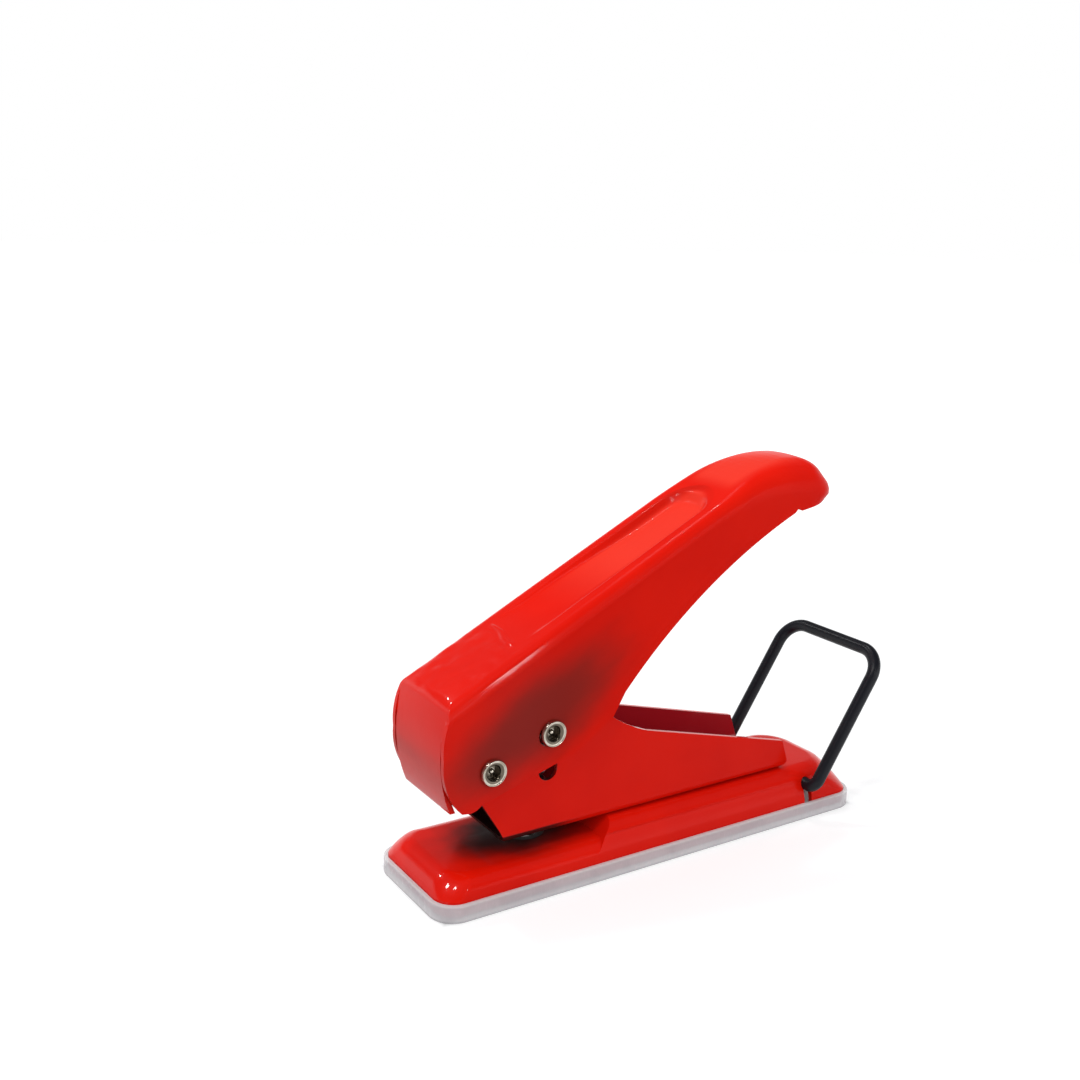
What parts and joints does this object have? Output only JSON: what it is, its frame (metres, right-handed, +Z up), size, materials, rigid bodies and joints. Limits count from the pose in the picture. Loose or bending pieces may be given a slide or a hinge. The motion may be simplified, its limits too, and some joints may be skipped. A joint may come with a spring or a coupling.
{
  "type": "single hole punch",
  "caption": "Pressed-steel desk punch for one hole, with a hand lever, a spring-returned round punch, a slide-on chip tray and a wire lock.",
  "frame": {"origin": "centre of the tray's flat underside, which rests on the desk", "axes": "+X along the length towards the handle's end and the wire lock, +Y across, +Z up"},
  "size_m": [0.1099, 0.0318, 0.0779],
  "materials": {
    "red_enamel": "gloss",
    "black_wire": "satin",
    "plated_steel": "polished",
    "hardened_steel": "ground",
    "spring_steel": "drawn",
    "tray_plastic": "translucent"
  },
  "bodies": {
    "base": {"base_shell": "red_enamel", "die_bush": "hardened_steel", "frame": "red_enamel", "guide_bush": "hardened_steel", "deck_rivets": "plated_steel", "pivot_rivet": "plated_steel", "return_spring": "spring_steel"},
    "lever": {"lever": "red_enamel"},
    "punch": {"punch_pin": "hardened_steel", "driver_rivet": "plated_steel", "spring_washer": "plated_steel"},
    "bail": {"lock_bail": "black_wire"},
    "tray": {"chip_tray": "tray_plastic"}
  },
  "joints": [
    {"name": "lever_hinge", "type": "hinge", "parent": "base", "child": "lever", "pos_m": [-0.0401, 0, 0.0266], "axis": [0, 1, 0], "range_deg": [0, 34.24], "stiffness_Nm_per_rad": 0.14, "springref_deg": -21.2},
    {"name": "punch_slide", "type": "slide", "parent": "base", "child": "punch", "axis": [0, 0, -1], "range_m": [0, 0.008], "deforming": ["return_spring"]},
    {"name": "bail_hinge", "type": "hinge", "parent": "base", "child": "bail", "pos_m": [0.0384, 0, 0.0072], "axis": [0, 1, 0], "range_deg": [-57, 55.5]},
    {"name": "tray_slide", "type": "slide", "parent": "base", "child": "tray", "axis": [0, 0, -1], "range_m": [0, 0.012]}
  ],
  "couplings": [
    {"joint": "punch_slide", "follows": "lever_hinge", "m_per_rad": 0.013386}
  ]
}
